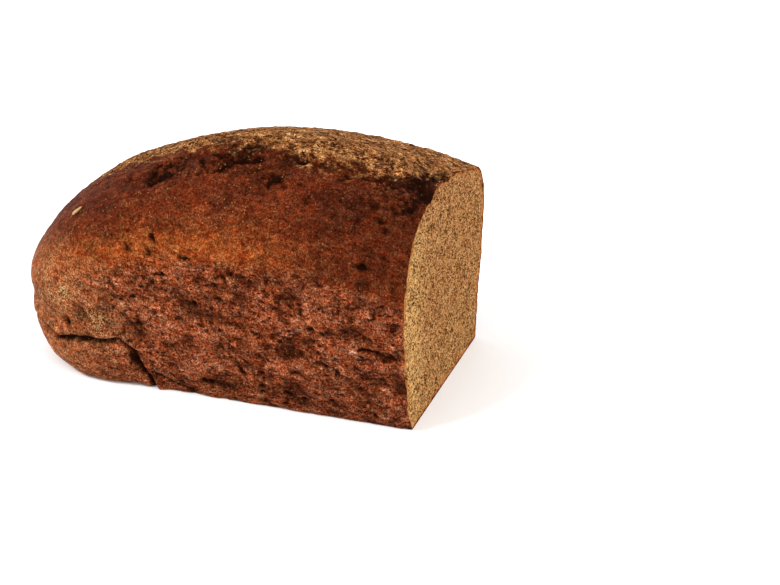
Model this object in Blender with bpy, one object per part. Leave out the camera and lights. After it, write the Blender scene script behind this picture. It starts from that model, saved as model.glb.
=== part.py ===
"""A dark rye loaf baked in a tin, with its first slices cut off, and a seed baked onto its crust.

The loaf is one solid. It stands on the flat base that the tin gave it, with its length along X:
+X is the cut, a flat upright face, and -X is the baked end. The shoulder on the -Y side is the
high one. Z is up, in metres, and the origin is under the middle of the loaf, on its base.

The crust is a sweep. A profile drawn from the edge of the base up to the ridge of the crown runs
along the near side, swings round the baked end, and comes back along the far side.
"""

import math

import bmesh
import bpy
from mathutils import Matrix, Vector

# Driving dimensions of the loaf, in metres.
BASE_WIDTH = 0.090
BASE_LENGTH = 0.1767
CUT_HEIGHT = 0.0910
CROWN_HEIGHT = 0.1055
CROWN_FROM_CUT = 0.064
RIDGE_OFFSET = 0.010
RIDGE_END_INSET = 0.0573

# How square the plan's corners are: 2 is an ellipse, and more is squarer.
BASE_SQUARENESS = 2.7
CROWN_SQUARENESS = 2.0

# The outline of the cut, as (y, z), from the base's near edge over the ridge, which is its
# middle point, to the base's far edge.
HALF_BASE = BASE_WIDTH / 2
SECTION = (
    (-HALF_BASE, 0.0),
    (-0.0510, 0.0160),
    (-0.0550, 0.0400),
    (-0.0540, 0.0620),
    (-0.0460, 0.0780),
    (-0.0300, 0.0870),
    (-RIDGE_OFFSET, CUT_HEIGHT),
    (0.0220, 0.0850),
    (0.0480, 0.0765),
    (0.0540, 0.0600),
    (0.0515, 0.0380),
    (0.0470, 0.0160),
    (HALF_BASE, 0.0),
)

# The outline of the baked end, from the base up to the ridge, before the crown's dome is added:
# distance outward from the end of the base, and height.
END_PROFILE = (
    (0.0, 0.0),
    (0.0048, 0.0160),
    (0.0064, 0.0360),
    (0.0052, 0.0550),
    (-0.0010, 0.0720),
    (-0.0110, 0.0850),
    (-0.0310, 0.0900),
    (-RIDGE_END_INSET, CUT_HEIGHT),
)

# Places along the length, with the cut and the base's end as far from the middle as each other.
CUT_X = BASE_LENGTH / 2
RIDGE_END_X = RIDGE_END_INSET - CUT_X
CROWN_X = CUT_X - CROWN_FROM_CUT

# The roll of dough that folded under on the near side, by the corner of the baked end.
ROLL_X = -0.050
ROLL_HEIGHT = 0.009
ROLL_LENGTH = 0.024
ROLL_THICKNESS = 0.011
ROLL_STANDS_OUT = 0.0025

# The seed lies on the near shoulder of the baked end: how far round the end, and how far up.
SEED_TURN = 0.175
SEED_RISE = 0.683
SEED_LENGTH = 0.0054
SEED_WIDTH = 0.0028
SEED_THICKNESS = 0.0015
SEED_TAPER = 0.45
SEED_SLANT = math.radians(40)
SEED_GAP = 0.0003

# Steps of the mesh.
SIDE_STEPS = 26
END_STEPS = 38
RISE_STEPS = 26
SEED_SEGMENTS = 16
SEED_RINGS = 10

MERGE_WITHIN = 1e-6
SMALL_STEP = 0.01
SHARP_EDGE = math.radians(45)


def clear_scene():
    for obj in list(bpy.data.objects):
        bpy.data.objects.remove(obj)


def material(name, colour, roughness):
    made = bpy.data.materials.new(name)
    made.use_nodes = True
    shader = made.node_tree.nodes["Principled BSDF"]
    shader.inputs["Base Color"].default_value = (*colour, 1.0)
    shader.inputs["Roughness"].default_value = roughness
    shader.inputs["Metallic"].default_value = 0.0
    return made


def along(points, share):
    """The place on a smooth curve through points: share 0 is the first of them, and 1 the last."""
    last = len(points) - 1
    before = min(int(share * last), last - 1)
    t = share * last - before
    start, end = Vector(points[before]), Vector(points[before + 1])
    start_slope, end_slope = (
        (Vector(points[min(i + 1, last)]) - Vector(points[max(i - 1, 0)]))
        / (min(i + 1, last) - max(i - 1, 0))
        for i in (before, before + 1)
    )
    return (
        (2 * t**3 - 3 * t**2 + 1) * start
        + (t**3 - 2 * t**2 + t) * start_slope
        + (3 * t**2 - 2 * t**3) * end
        + (t**3 - t**2) * end_slope
    )


def domed(height, x):
    """A height with the crown's dome added at x. The dome fades out towards the base."""
    ridge = CROWN_HEIGHT - (CROWN_HEIGHT - CUT_HEIGHT) * ((x - CROWN_X) / CROWN_FROM_CUT) ** 2
    return height + (ridge - CUT_HEIGHT) * (height / CUT_HEIGHT) ** 2


def roll_of_dough(x, height):
    """How far the folded roll stands out of the near side."""
    along_x = (x - ROLL_X) / ROLL_LENGTH
    along_z = (height - ROLL_HEIGHT) / ROLL_THICKNESS
    return ROLL_STANDS_OUT * math.exp(-(along_x**2) - along_z**2)


def side_point(x, section_share):
    """A point of the straight stretch. Share 0 is the base's near edge, and 1 its far edge."""
    across, height = along(SECTION, section_share)
    return Vector((x, across, domed(height, x)))


def end_point(turn, rise):
    """A point of the baked end. Turn 0 meets the near side, 0.5 is the tip, and 1 the far side."""
    near, far = along(SECTION, rise / 2), along(SECTION, 1 - rise / 2)
    tip = along(END_PROFILE, rise)
    outward, across = math.sin(math.pi * turn), -math.cos(math.pi * turn)
    squareness = BASE_SQUARENESS + rise * (CROWN_SQUARENESS - BASE_SQUARENESS)
    corner = (abs(outward) ** squareness + abs(across) ** squareness) ** (-1 / squareness)
    x = RIDGE_END_X - max(RIDGE_END_INSET + tip.x, 0.0) * outward * corner
    y = (near.x + far.x) / 2 + (far.x - near.x) / 2 * across * corner
    side_height = near.y + (far.y - near.y) * (1 + across) / 2
    height = side_height + (tip.y - side_height) * outward**2
    return Vector((x, y, domed(height, x)))


def crust_column(step):
    """One profile of the sweep, from the base to the ridge."""
    rises = [i / RISE_STEPS for i in range(RISE_STEPS + 1)]
    side_length = CUT_X - RIDGE_END_X
    if step <= SIDE_STEPS:
        x = CUT_X - side_length * step / SIDE_STEPS
        column = [side_point(x, rise / 2) for rise in rises]
    elif step < SIDE_STEPS + END_STEPS:
        turn = (step - SIDE_STEPS) / END_STEPS
        column = [end_point(turn, rise) for rise in rises]
    else:
        x = RIDGE_END_X + side_length * (step - SIDE_STEPS - END_STEPS) / SIDE_STEPS
        column = [side_point(x, 1 - rise / 2) for rise in rises]
    for point in column:
        if point.y < 0:
            point.y -= roll_of_dough(point.x, point.z)
    return column


def make_loaf(crust, crumb):
    """The swept crust, closed by a flat base and by the flat face of the cut."""
    mesh = bmesh.new()
    columns = [
        [mesh.verts.new(point) for point in crust_column(step)]
        for step in range(2 * SIDE_STEPS + END_STEPS + 1)
    ]
    for left, right in zip(columns, columns[1:]):
        for low in range(RISE_STEPS):
            mesh.faces.new((left[low], left[low + 1], right[low + 1], right[low]))
    mesh.faces.new([column[0] for column in columns])
    cut = mesh.faces.new(columns[0] + columns[-1][-2::-1])
    cut.material_index = 1
    bmesh.ops.remove_doubles(mesh, verts=mesh.verts[:], dist=MERGE_WITHIN)
    bmesh.ops.recalc_face_normals(mesh, faces=mesh.faces[:])

    data = bpy.data.meshes.new("loaf")
    mesh.to_mesh(data)
    mesh.free()
    data.materials.append(crust)
    data.materials.append(crumb)
    data.shade_smooth()
    data.set_sharp_from_angle(angle=SHARP_EDGE)
    loaf = bpy.data.objects.new("loaf", data)
    bpy.context.scene.collection.objects.link(loaf)
    return loaf


def make_seed(hull):
    """A husked seed, blunt at one end and pointed at the other, lying flat on the crust."""
    mesh = bmesh.new()
    bmesh.ops.create_uvsphere(mesh, u_segments=SEED_SEGMENTS, v_segments=SEED_RINGS, radius=0.5)
    for vertex in mesh.verts:
        length_share = vertex.co.z
        taper = 1 - SEED_TAPER * length_share
        vertex.co = Vector(
            (
                length_share * SEED_LENGTH,
                vertex.co.x * taper * SEED_WIDTH,
                vertex.co.y * taper * SEED_THICKNESS,
            )
        )
    data = bpy.data.meshes.new("crust_seed")
    mesh.to_mesh(data)
    mesh.free()
    data.materials.append(hull)
    data.shade_smooth()

    place = end_point(SEED_TURN, SEED_RISE)
    round_end = end_point(SEED_TURN + SMALL_STEP, SEED_RISE) - place
    upward = end_point(SEED_TURN, SEED_RISE + SMALL_STEP) - place
    outward = upward.cross(round_end).normalized()
    if outward.dot(place) < 0:
        outward.negate()
    upward.normalize()
    sideways = upward.cross(outward)
    long_way = math.cos(SEED_SLANT) * sideways + math.sin(SEED_SLANT) * upward
    short_way = outward.cross(long_way)
    seed = bpy.data.objects.new("crust_seed", data)
    turned = Matrix((long_way, short_way, outward)).transposed().to_4x4()
    clearance = SEED_THICKNESS * (1 + SEED_TAPER) / 2 + SEED_GAP
    seed.matrix_world = Matrix.Translation(place + clearance * outward) @ turned
    bpy.context.scene.collection.objects.link(seed)
    return seed


def centre_over_origin(loaf, seed):
    """Moves the loaf's mesh so that the middle of its box is over the origin, and the seed too."""
    corners = [Vector(corner) for corner in loaf.bound_box]
    middle = (corners[0] + corners[6]) / 2
    shift = Matrix.Translation((-middle.x, -middle.y, 0.0))
    loaf.data.transform(shift)
    seed.matrix_world = shift @ seed.matrix_world


def main():
    clear_scene()
    crust = material("rye_crust", (0.150, 0.045, 0.018), 0.62)
    crumb = material("rye_crumb", (0.330, 0.170, 0.066), 0.85)
    hull = material("seed_hull", (0.700, 0.480, 0.230), 0.50)
    loaf = make_loaf(crust, crumb)
    seed = make_seed(hull)
    centre_over_origin(loaf, seed)


main()
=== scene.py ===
"""The looks of a cut rye tin loaf: its pitted crust, its close crumb, and a seed on the crust.

The loaf is one closed mesh, made in three sheets that share their edges: the crust, swept as in
the CAD model, the face of the cut, and the base. The crust's folds, pits, cracks and wrinkles
and the crumb's pores are moved into the mesh itself, and the materials read what moved where
from the mesh's attributes, to paint shade into hollows and pores and highlight onto raised crust.
+X is the cut, -Y the near side, +Z up, and all sizes are in metres.
"""

import math

import bpy
import numpy as np
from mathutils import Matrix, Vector
from mathutils.geometry import delaunay_2d_cdt


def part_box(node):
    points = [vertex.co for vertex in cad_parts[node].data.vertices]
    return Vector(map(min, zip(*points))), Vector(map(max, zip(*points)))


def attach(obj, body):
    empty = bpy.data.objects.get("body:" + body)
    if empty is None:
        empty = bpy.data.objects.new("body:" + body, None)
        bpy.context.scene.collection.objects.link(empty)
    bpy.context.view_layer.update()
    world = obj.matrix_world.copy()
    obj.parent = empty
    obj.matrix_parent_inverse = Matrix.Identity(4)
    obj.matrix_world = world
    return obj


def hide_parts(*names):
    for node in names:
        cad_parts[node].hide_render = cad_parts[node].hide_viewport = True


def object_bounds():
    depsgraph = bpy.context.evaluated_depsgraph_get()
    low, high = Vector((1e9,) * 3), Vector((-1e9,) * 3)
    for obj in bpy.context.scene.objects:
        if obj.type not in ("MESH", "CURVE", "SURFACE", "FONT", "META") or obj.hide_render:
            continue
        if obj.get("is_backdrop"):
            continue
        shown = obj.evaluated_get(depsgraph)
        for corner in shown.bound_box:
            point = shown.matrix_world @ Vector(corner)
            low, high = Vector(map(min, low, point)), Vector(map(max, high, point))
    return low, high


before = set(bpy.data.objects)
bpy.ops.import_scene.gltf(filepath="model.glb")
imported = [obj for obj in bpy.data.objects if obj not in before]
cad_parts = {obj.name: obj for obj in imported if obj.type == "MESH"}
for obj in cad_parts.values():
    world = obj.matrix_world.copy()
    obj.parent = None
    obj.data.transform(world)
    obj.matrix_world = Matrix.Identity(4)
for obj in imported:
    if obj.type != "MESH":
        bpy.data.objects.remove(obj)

CAD_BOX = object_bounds()
LOAF_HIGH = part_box("loaf")[1]
SEED_LOW, SEED_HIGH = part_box("crust_seed")


def metres(table):
    """A table whose whole numbers are tenths of a millimetre, with those in metres."""
    if isinstance(table, tuple):
        return tuple(metres(part) for part in table)
    return table / 10000 if isinstance(table, int) else table


# The loaf's shape, as the CAD model has it.
BASE_WIDTH = 0.09
BASE_LENGTH = 0.1767
CUT_HEIGHT = 0.091
CROWN_HEIGHT = 0.1055
CROWN_FROM_CUT = 0.064
RIDGE_OFFSET = 0.01
RIDGE_END_INSET = 0.0573
BASE_SQUARENESS = 2.7
CROWN_SQUARENESS = 2.0
HALF_BASE = BASE_WIDTH / 2
SECTION = metres((
    (-HALF_BASE, 0), (-510, 160), (-550, 400), (-540, 620), (-460, 780), (-300, 870),
    (-RIDGE_OFFSET, CUT_HEIGHT), (220, 850), (480, 765), (540, 600), (515, 380), (470, 160),
    (HALF_BASE, 0),
))
END_PROFILE = metres((
    (0, 0), (48, 160), (64, 360), (52, 550), (-10, 720), (-110, 850), (-310, 900),
    (-RIDGE_END_INSET, CUT_HEIGHT),
))

# Columns of the crust along each straight side and round the baked end, and rows from the base
# to the ridge. The cut and the base are filled with triangles of these sizes.
SIDE_COLUMNS = 140
END_COLUMNS = 180
ROWS = 145
CRUMB_SPACING = 0.00058
BASE_SPACING = 0.0035
FOOT_RADIUS = 0.001

# Where the loaf stands, read from the CAD model.
CUT_X = LOAF_HIGH.x
RIDGE_END_X = CUT_X - BASE_LENGTH + RIDGE_END_INSET
CROWN_X = CUT_X - CROWN_FROM_CUT

# The fold at the near corner of the baked end, as (x, z) on the near side: a roll of dough lies
# under this crease, down to the base. A smaller crease runs on from it.
FOLD = metres((
    (-960, 270), (-800, 215), (-690, 205), (-630, 175), (-535, 212), (-420, 212), (-320, 245),
    (-262, 205), (-240, 150), (-222, 85), (-205, -20),
))
SMALL_FOLD = metres(((-190, 100), (-120, 48), (-30, 15)))
PLEATS = metres((
    ((-330, 410), (-250, 330), (-190, 210)),
    ((-290, 300), (-210, 170), (-150, 100)),
    ((-400, 350), (-330, 270)),
))
ROLL_X = -0.047
ROLL_LENGTH = 0.02
ROLL_STANDS_OUT = 0.003
ROLL_RIGHT_END = (-0.029, -0.0215)
ROLL_FOOT = 0.005
FOLD_DEPTH = 0.0026
FOLD_WIDTH = 0.0013
FOLD_OVERHANG = 0.0012
SMALL_FOLD_DEPTH = 0.0016
SMALL_FOLD_WIDTH = 0.0011
PLEAT_DEPTH = 0.0009
PLEAT_WIDTH = 0.001

# Dents that are big enough to be placed: (x, z), length, width, tilt in degrees, and depth.
SIDE_DENTS = metres((
    ((-250, 135), 140, 42, -62.0, 30), ((-640, 170), 70, 22, 20.0, 16),
    ((735, 710), 95, 30, -12.0, 20), ((760, 768), 40, 26, 60.0, 12),
    ((815, 745), 32, 24, 0, 12), ((742, 640), 70, 44, -10.0, 12),
    ((865, 650), 42, 36, 0, 13), ((660, 530), 110, 35, 14.0, 10),
    ((775, 372), 135, 34, -9.0, 22), ((840, 350), 80, 22, -12.0, 15),
    ((880, 300), 70, 90, 0, 9), ((790, 520), 46, 36, 0, 14),
    ((880, 490), 36, 50, 0, 13), ((-112, 575), 100, 28, 8.0, 20),
    ((-180, 600), 60, 14, -24.0, 12), ((0, 655), 80, 24, -28.0, 15),
    ((-142, 712), 38, 36, 0, 18), ((-250, 668), 52, 22, -55.0, 14),
    ((-165, 660), 62, 22, -48.0, 14), ((-250, 730), 28, 26, 0, 12),
    ((130, 560), 40, 30, -20.0, 14), ((225, 565), 34, 46, 10.0, 13),
    ((545, 812), 22, 46, 0, 10), ((395, 612), 50, 40, 0, 12),
    ((475, 650), 66, 26, -15.0, 12), ((555, 632), 75, 26, -20.0, 13),
    ((445, 560), 170, 120, -8.0, 11), ((400, 375), 110, 22, 6.0, 13),
    ((345, 310), 75, 28, -8.0, 12), ((480, 310), 50, 40, 0, 13),
    ((565, 272), 110, 38, 10.0, 14), ((460, 212), 80, 34, 0, 12),
    ((200, 200), 100, 20, -25.0, 10), ((105, 365), 60, 22, -60.0, 12),
    ((100, 480), 40, 30, 0, 11), ((345, 95), 40, 34, 0, 12),
    ((760, 60), 46, 36, 0, 14),
))
# The same for the crown, seen from above: (x, y), length, width, tilt and depth.
CROWN_DENTS = metres((
    ((240, -330), 130, 50, 20.0, 10), ((460, -300), 100, 34, 10.0, 9),
    ((580, -240), 110, 30, -8.0, 10), ((660, -260), 70, 24, -4.0, 9),
    ((560, 150), 110, 22, -5.0, 10), ((300, 250), 90, 26, 10.0, 10),
    ((610, -115), 260, 24, -4.0, 8), ((100, -60), 110, 22, 14.0, 10),
    ((-150, 60), 90, 24, 12.0, 10),
))

# Soft dark patches on the crown, seen from above: (x, y), how far each reaches, and how dark.
SCORCHES = metres((
    ((765, -270), (130, 80), 0.5), ((730, -370), (150, 70), 0.45),
    ((845, -220), (55, 80), 1.0), ((875, -100), (50, 65), 0.9),
    ((855, -300), (50, 60), 0.95), ((390, -255), (130, 45), 0.5),
    ((320, -355), (90, 50), 0.75), ((160, -235), (85, 50), 0.9),
    ((65, -285), (120, 55), 0.7), ((50, -170), (80, 40), 0.55),
    ((-100, -275), (90, 50), 0.6), ((-170, -330), (100, 55), 0.85),
))
# Burst and burnt cracks on the crown, as (x, y) from above, each with its reach and its depth.
BURNT_CRACKS = metres((
    (((-242, -336), (-204, -303), (-152, -270), (-99, -243)), 17, 14),
    (((-234, -375), (-189, -356), (-137, -343), (-114, -323)), 15, 16),
    (((70, -335), (111, -290), (163, -283), (224, -276)), 19, 20),
    (((140, -245), (165, -200)), 22, 18),
    (((299, -394), (321, -375), (344, -350), (365, -325)), 16, 14),
    (((846, -148), (914, -10)), 32, 20),
    (((850, -205), (914, -220)), 36, 24),
    (((374, -262), (404, -258)), 13, 12),
    (((474, -256), (490, -252)), 12, 12),
    (((450, -118), (475, -108)), 14, 14),
    (((340, 66), (366, 72)), 15, 14),
    (((741, -262), (780, -240)), 12, 12),
))
# Where the tan top of the crown begins, as (x, y) from above.
TAN_EDGE = metres((
    (-900, 40), (-600, -90), (-380, -185), (100, -185), (450, -220), (750, -175), (915, -40),
))

# Crumbs of crust that stand out: where each is, how far it reaches, and how high it is.
BURRS = metres((
    ((912, 505, 150), 18, 22),
    ((912, 520, 230), 14, 9),
    ((912, 535, 300), 12, 8),
    ((-600, -60, 790), 12, 16),
))

CRUST_THICKNESS = 0.0014
CRUST_PITS = 2300
SMALLEST_PIT = 0.0008
LARGEST_PIT = 0.0041
# How many columns and rows of the crust a pit can reach from its middle.
PIT_WINDOW = 6
CRUMB_PORES = 3000
SMALLEST_PORE = 0.00036
FAR_DENTS = 46
BASE_EDGE_STEP = 0.0009

# The loaf's own broad shape: how much it swells or sags, and where. Here and below, a place is
# the two ends of a ramp, or the middle and the reach of a bell.
SWELL_BY_CUT, BY_CUT_X = 0.0016, (0.045, 0.088)
SAG_BEHIND_CROWN, BEHIND_CROWN_X = 0.0011, (-0.025, 0.025)
WAIST_DEPTH, WAIST_X, WAIST_Z = 0.0026, (-0.092, 0.012), (0.028, 0.008)

# How deep the winding cracks are, and how far the torn rim of the cut stands out.
CRACK_DEPTH = 0.00115
FINE_CRACK_DEPTH = 0.0007
TORN_RIM, TORN_RIM_X = 0.0009, (0.089, 0.0914)

# How high the lumps, fibres and grain of the crust stand where it is smooth, and how much
# higher where it is rough, tan or scorched.
SMOOTH_LUMPS, SMOOTH_FIBRES, SMOOTH_GRAIN = 0.00032, 0.00008, 0.00007
ROUGH_FIBRES, TAN_FIBRES, SCORCHED_FIBRES = 0.00026, 0.00034, 0.0003
ROUGH_GRAIN, TAN_GRAIN = 0.0001, 0.00024
LUMPS_HIGH = 0.001
MOST_UNEVEN = 1.5

# Where the crust baked in its own way. The band is partly painted light, and the foot shade is
# painted shade, darker towards the base.
SHOULDER_HEIGHT = 0.078
SMOOTH_END_X = (-0.058, -0.022)
ROUGH_TO_SMOOTH = (0.66, 0.8)
BAND_HEIGHT, BAND_FADES_X = (0.78, 0.12), (0.0, 0.07)
TAN_BLUR, TAN_MORE_BLUR, TAN_BLUR_X = 0.0095, 0.006, (0.02, 0.06)
TORN_TOP_Y, TORN_TOP_X = (-0.0075, 0.0075), (-0.068, -0.045)
FLANK_X, FLANK_Z = (0.03, 0.08), (0.048, 0.078)
HIGH_FLOUR_X, HIGH_FLOUR_Z = (-0.0605, 0.01), (0.045, 0.012)
LOW_FLOUR_X, LOW_FLOUR_Z = (-0.0415, 0.009), (0.033, 0.008)
PALE_END_X, PALE_END_Z = (-0.08, -0.01), (0.035, 0.07)
FOOT_SHADE, FOOT_SHADE_X, FOOT_SHADE_Z = 0.28, (-0.03, 0.01), (0.01, 0.036)

# Hollows this deep, and relief this high, count as full in the attributes.
FULL_CAVITY = 0.0016
FULL_RELIEF = 0.0008
FULL_PORE = 0.0008

# Room between the sheets on the baked maps, and how much of the loaf a side of a map holds.
MAP_GAP = 0.003
MAP_SIDE = 0.334

RANDOM = np.random.default_rng(20)
LATTICE = 256
FIELD_GAP = 17.3
NOISE_GAIN = 1.6
HASHES = RANDOM.permutation(LATTICE)
SLOPES = RANDOM.normal(size=(LATTICE, 3))
SLOPES /= np.linalg.norm(SLOPES, axis=1, keepdims=True)


# ---- noise and simple falloffs

# Fields of noise: how big the bumps of each are, and a number that sets it apart.
BROAD_WAVES = (0.04, 70)
LUMPS = (0.0085, 5)
FIBRES = (0.0024, 8)
GRAIN = (0.0019, 11)
WAVER = (0.016, 9)
FLOUR_CLOUDS = (0.009, 20)
CRACK_LINES = (0.0065, 60)
FINE_CRACK_LINES = (0.0034, 61)
CRACK_BREAKS = (0.0095, 62)
FINE_CRACK_BREAKS = (0.006, 63)
BURST_SWELL = (0.0045, 64)
BURST_BREAKS = (0.003, 65)
TORN_CRUST = (0.003, 80)
FOLD_WOBBLE = (0.006, 3)
WANDER = (0.005, 50)
FINE_WANDER = (0.0021, 53)
CRUMB_WEAVE = (0.0013, 30)
CRUMB_SAG = (0.007, 33)
BASE_ARCH = (0.012, 40)


def noise(points, size, shift):
    """Smooth noise from about -1 to 1, whose bumps are about size across."""
    grid = points / size + FIELD_GAP * shift
    cell = np.floor(grid).astype(int)
    local = grid - cell
    blend = local**3 * (local * (local * 6 - 15) + 10)
    total = np.zeros(points.shape[:-1])
    for corner in np.ndindex(2, 2, 2):
        x, y, z = np.moveaxis((cell + corner) % LATTICE, -1, 0)
        hashed = HASHES[(HASHES[(HASHES[x] + y) % LATTICE] + z) % LATTICE]
        slope = (SLOPES[hashed] * (local - corner)).sum(-1)
        weight = np.where(corner, blend, 1 - blend).prod(-1)
        total += slope * weight
    return total * NOISE_GAIN


def layered(points, field, octaves):
    """A field of noise with finer and weaker noise added, octave by octave."""
    size, shift = field
    return sum(noise(points, size / 2**i, shift + i) / 2**i for i in range(octaves)) / 1.5


def wandering(points, field, count):
    """A shift in count directions for each point, drawn from as many fields of noise."""
    size, shift = field
    return np.stack([noise(points, size, shift + i) for i in range(count)], -1)


def ramp(value, low, high):
    """0 at low and 1 at high, with a smooth step between them."""
    share = np.clip((value - low) / (high - low), 0, 1)
    return share * share * (3 - 2 * share)


def bell(value, middle, reach):
    return np.exp(-(((value - middle) / reach) ** 2))


# ---- the smooth shape


def along(points, share):
    """The places on a smooth curve through points: share 0 is the first, and 1 the last."""
    points = np.asarray(points, float)
    slopes = np.gradient(points, axis=0)
    last = len(points) - 1
    before = np.clip((share * last).astype(int), 0, last - 1)
    t = (share * last - before)[:, None]
    return (
        (2 * t**3 - 3 * t**2 + 1) * points[before]
        + (t**3 - 2 * t**2 + t) * slopes[before]
        + (3 * t**2 - 2 * t**3) * points[before + 1]
        + (t**3 - t**2) * slopes[before + 1]
    )


SECTION_Y = LOAF_HIGH.y - along(SECTION, np.linspace(0, 1, 241))[:, 0].max()


def domed(height, x):
    """A height with the crown's dome added at x. The dome fades out towards the base."""
    ridge = CROWN_HEIGHT - (CROWN_HEIGHT - CUT_HEIGHT) * ((x - CROWN_X) / CROWN_FROM_CUT) ** 2
    return height + (ridge - CUT_HEIGHT) * (height / CUT_HEIGHT) ** 2


def side_points(x, section_share):
    across, height = along(SECTION, section_share).T
    return np.stack([x + 0 * across, across + SECTION_Y, domed(height, x)], -1)


def end_points(turn, rise):
    """Points of the baked end. Turn 0 meets the near side, 0.5 is the tip, and 1 the far side."""
    near, far = along(SECTION, rise / 2), along(SECTION, 1 - rise / 2)
    tip_reach, tip_height = along(END_PROFILE, rise).T
    outward, across = math.sin(math.pi * turn), -math.cos(math.pi * turn)
    squareness = BASE_SQUARENESS + rise * (CROWN_SQUARENESS - BASE_SQUARENESS)
    corner = (abs(outward) ** squareness + abs(across) ** squareness) ** (-1 / squareness)
    x = RIDGE_END_X - np.maximum(RIDGE_END_INSET + tip_reach, 0) * outward * corner
    y = (near[:, 0] + far[:, 0]) / 2 + (far[:, 0] - near[:, 0]) / 2 * across * corner
    side_height = near[:, 1] + (far[:, 1] - near[:, 1]) * (1 + across) / 2
    height = side_height + (tip_height - side_height) * outward**2
    return np.stack([x, y + SECTION_Y, domed(height, x)], -1)


def crust_grid():
    """The smooth crust as columns of points, from the cut's near edge round to its far edge."""
    rise = np.linspace(0, 1, ROWS + 1)
    side_x = np.linspace(CUT_X, RIDGE_END_X, SIDE_COLUMNS + 1)
    turns = np.linspace(0, 1, END_COLUMNS + 1)[1:-1]
    near = [side_points(x, rise / 2) for x in side_x]
    end = [end_points(turn, rise) for turn in turns]
    far = [side_points(x, 1 - rise / 2) for x in side_x[::-1]]
    return np.array(near + end + far)


def join_ridge(columns):
    """Gives what meets on the ridge one value, which the near side's columns hold."""
    ridge = columns[:, -1]
    ridge[-SIDE_COLUMNS - 1 :] = ridge[: SIDE_COLUMNS + 1][::-1]
    ridge[SIDE_COLUMNS + 1 : -SIDE_COLUMNS - 1] = ridge[SIDE_COLUMNS]


def outward_normals(grid):
    """Unit normals of the grid's points. Points that meet on the ridge get the same one."""
    across, up = np.gradient(grid, axis=0), np.gradient(grid, axis=1)
    normals = np.cross(across, up)
    below_ridge = normals[:, -2]
    normals[:, -1] = below_ridge / (np.linalg.norm(below_ridge, axis=1, keepdims=True) + 1e-12)
    normals[: SIDE_COLUMNS + 1, -1] += normals[-SIDE_COLUMNS - 1 :, -1][::-1]
    join_ridge(normals)
    normals /= np.linalg.norm(normals, axis=-1, keepdims=True)
    points_inward = normals[0, ROWS // 2, 1] > 0
    return -normals if points_inward else normals


def distance_to_path(places, path):
    """How far each flat place is from a path of straight stretches."""
    nearest = np.full(len(places), np.inf)
    for start, end in zip(np.array(path[:-1]), np.array(path[1:])):
        stretch = end - start
        share = np.clip((places - start) @ stretch / (stretch @ stretch), 0, 1)
        gap = places - start - share[:, None] * stretch
        nearest = np.minimum(nearest, np.hypot(gap[:, 0], gap[:, 1]))
    return nearest


def inside(places, outline):
    """Whether each flat place is inside a closed outline."""
    outline = np.array(outline)
    crossings = np.zeros(len(places), int)
    for (ax, ay), (bx, by) in zip(outline, np.roll(outline, -1, axis=0)):
        if ay == by:
            continue
        between = (places[:, 1] < ay) != (places[:, 1] < by)
        meets = ax + (places[:, 1] - ay) * (bx - ax) / (by - ay)
        crossings += between & (places[:, 0] < meets)
    return crossings % 2 == 1


def dent(places, where, length, width, tilt):
    """How deep each flat place lies in a rounded dent: 1 in its middle, and 0 outside it."""
    across = places - np.array(where)
    turn = math.radians(tilt)
    long_way = across @ np.array([math.cos(turn), math.sin(turn)])
    short_way = across @ np.array([-math.sin(turn), math.cos(turn)])
    out = (2 * long_way / length) ** 2 + (2 * short_way / width) ** 2
    return np.clip(1 - out, 0, 1) ** 0.7


# ---- the baked crust


def slumps(grid, normals):
    """The loaf's own broad swellings and hollows, which the plain swept shape leaves out."""
    x, z = grid[..., 0], grid[..., 2]
    crown = ramp(normals[..., 2], 0.5, 0.9)
    swell = SWELL_BY_CUT * ramp(x, *BY_CUT_X) * crown
    sag = -SAG_BEHIND_CROWN * bell(x, *BEHIND_CROWN_X) * crown
    return swell + sag - WAIST_DEPTH * (bell(x, *WAIST_X) * bell(z, *WAIST_Z))


def steep(normals):
    """How wall-like the crust is: 1 on the sides and 0 on the crown."""
    return 1 - ramp(normals[..., 2], 0.35, 0.75)


def ragged(grid):
    """The grid with its places wandering a little, so that what is drawn on it gets rough edges."""
    return grid + 0.0013 * wandering(grid, WANDER, 3) + 0.0008 * wandering(grid, FINE_WANDER, 3)


def winding_cracks(grid, rough):
    """Depth of thin cracks that wind through the rough crust and break off here and there."""
    lying = grid * np.array([0.55, 1.0, 1.0])
    line = bell(noise(lying, *CRACK_LINES), 0, 0.09)
    fine_line = bell(noise(lying, *FINE_CRACK_LINES), 0, 0.1)
    whole = ramp(noise(grid, *CRACK_BREAKS), -0.25, 0.25)
    fine_whole = ramp(noise(grid, *FINE_CRACK_BREAKS), -0.1, 0.35)
    return rough * np.maximum(CRACK_DEPTH * line * whole, FINE_CRACK_DEPTH * fine_line * fine_whole)


def burnt_cracks(grid, normals):
    """Depth of the burst cracks on the crown, and how burnt they are."""
    depth, burnt = np.zeros(grid.shape[:2]), np.zeros(grid.shape[:2])
    on_crown = normals[..., 2] > 0.2
    crown = grid[on_crown]
    deep, dark = np.zeros(len(crown)), np.zeros(len(crown))
    swell = 1 + 0.6 * noise(crown, *BURST_SWELL)
    for path, reach, most in BURNT_CRACKS:
        gap = distance_to_path(crown[:, :2], path) / swell
        deep = np.maximum(deep, most * bell(gap, 0, reach))
        dark = np.maximum(dark, bell(gap, 0, 1.1 * reach))
    whole = ramp(noise(crown, *BURST_BREAKS), -0.45, 0.1)
    depth[on_crown] = deep * (0.3 + 0.7 * whole)
    burnt[on_crown] = dark * (0.2 + 0.8 * whole)
    return depth, burnt


def deepest(places, dents):
    """Depth of the deepest of several dents at each place."""
    depth = np.zeros(len(places))
    for where, length, width, tilt, deep in dents:
        depth = np.maximum(depth, deep * dent(places, where, length, width, tilt))
    return depth


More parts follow.
